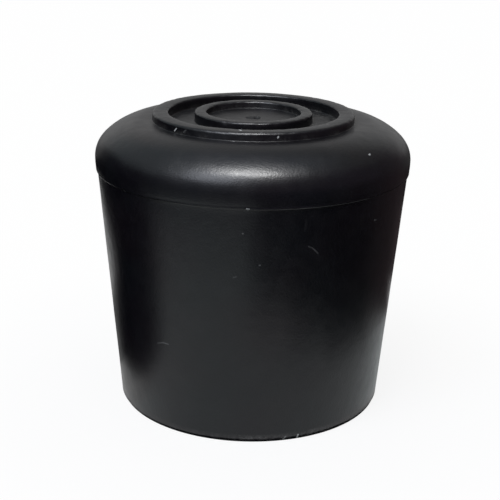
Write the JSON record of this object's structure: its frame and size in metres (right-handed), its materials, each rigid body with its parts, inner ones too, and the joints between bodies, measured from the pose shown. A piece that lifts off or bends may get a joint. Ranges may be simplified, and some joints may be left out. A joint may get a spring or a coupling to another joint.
{
  "type": "chair leg ferrule",
  "caption": "Round tapered rubber ferrule that pushes onto a chair leg, with a domed end, raised concentric tread rings and a blind socket.",
  "frame": {"origin": "centre of the mouth's rim, on the plane that the ferrule stands on", "axes": "+Z along the socket's axis, from the open mouth to the sole with its tread rings; round about Z, so X and Y are alike"},
  "size_m": [0.0372, 0.0372, 0.035],
  "materials": {
    "rubber": "satin moulded black rubber, with a faint bloom and a few specks of dust"
  },
  "bodies": {
    "root": {"ferrule": "rubber"}
  },
  "joints": []
}
